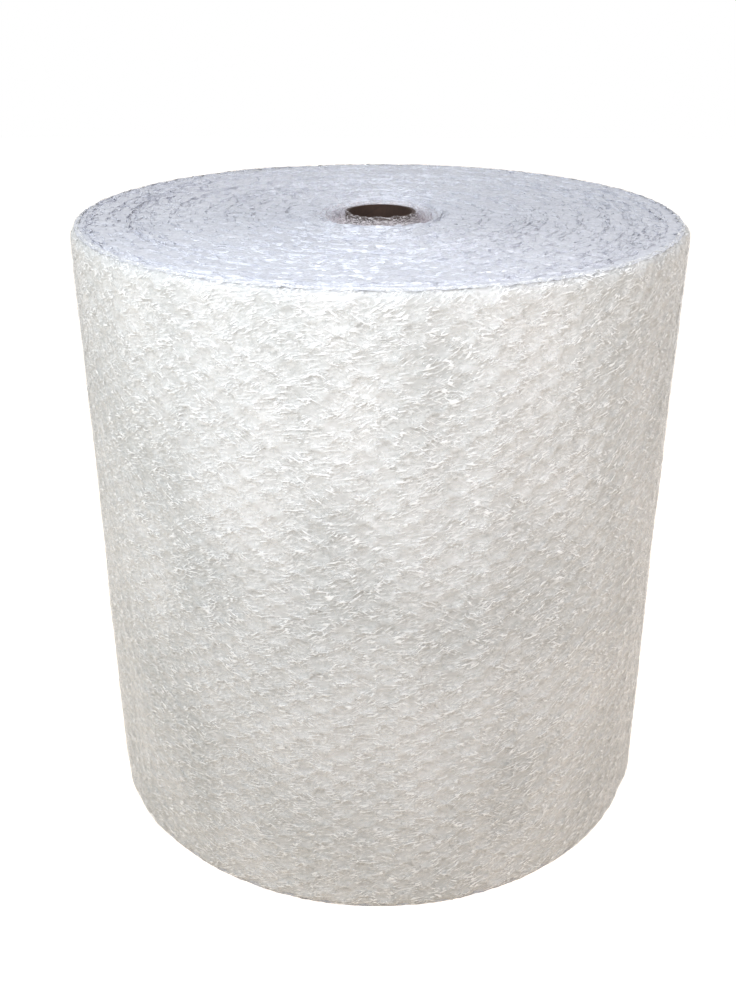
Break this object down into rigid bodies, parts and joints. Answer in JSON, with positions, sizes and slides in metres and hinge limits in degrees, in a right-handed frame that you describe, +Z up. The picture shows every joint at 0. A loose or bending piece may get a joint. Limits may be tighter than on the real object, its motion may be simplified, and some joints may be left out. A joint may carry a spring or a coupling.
{
  "type": "bubble wrap roll",
  "caption": "Roll of large-bubble cushioning wrap wound on a cardboard core, standing on its end; sheet is pulled off the outside to wrap goods.",
  "frame": {"origin": "on the core's axis at the roll's bottom end, where it stands on the floor", "axes": "+Z up along the core's axis; the sheet's free end lies at the back, towards +Y, and -Y is the front"},
  "size_m": [0.7211, 0.717, 0.75],
  "materials": {
    "cardboard": "matt brown kraft paper, spiral wound",
    "bubble_film": "clear polythene film, milky where many layers lie over each other"
  },
  "bodies": {
    "root": {"core_tube": "cardboard", "bubble_wrap": "bubble_film"}
  },
  "joints": []
}
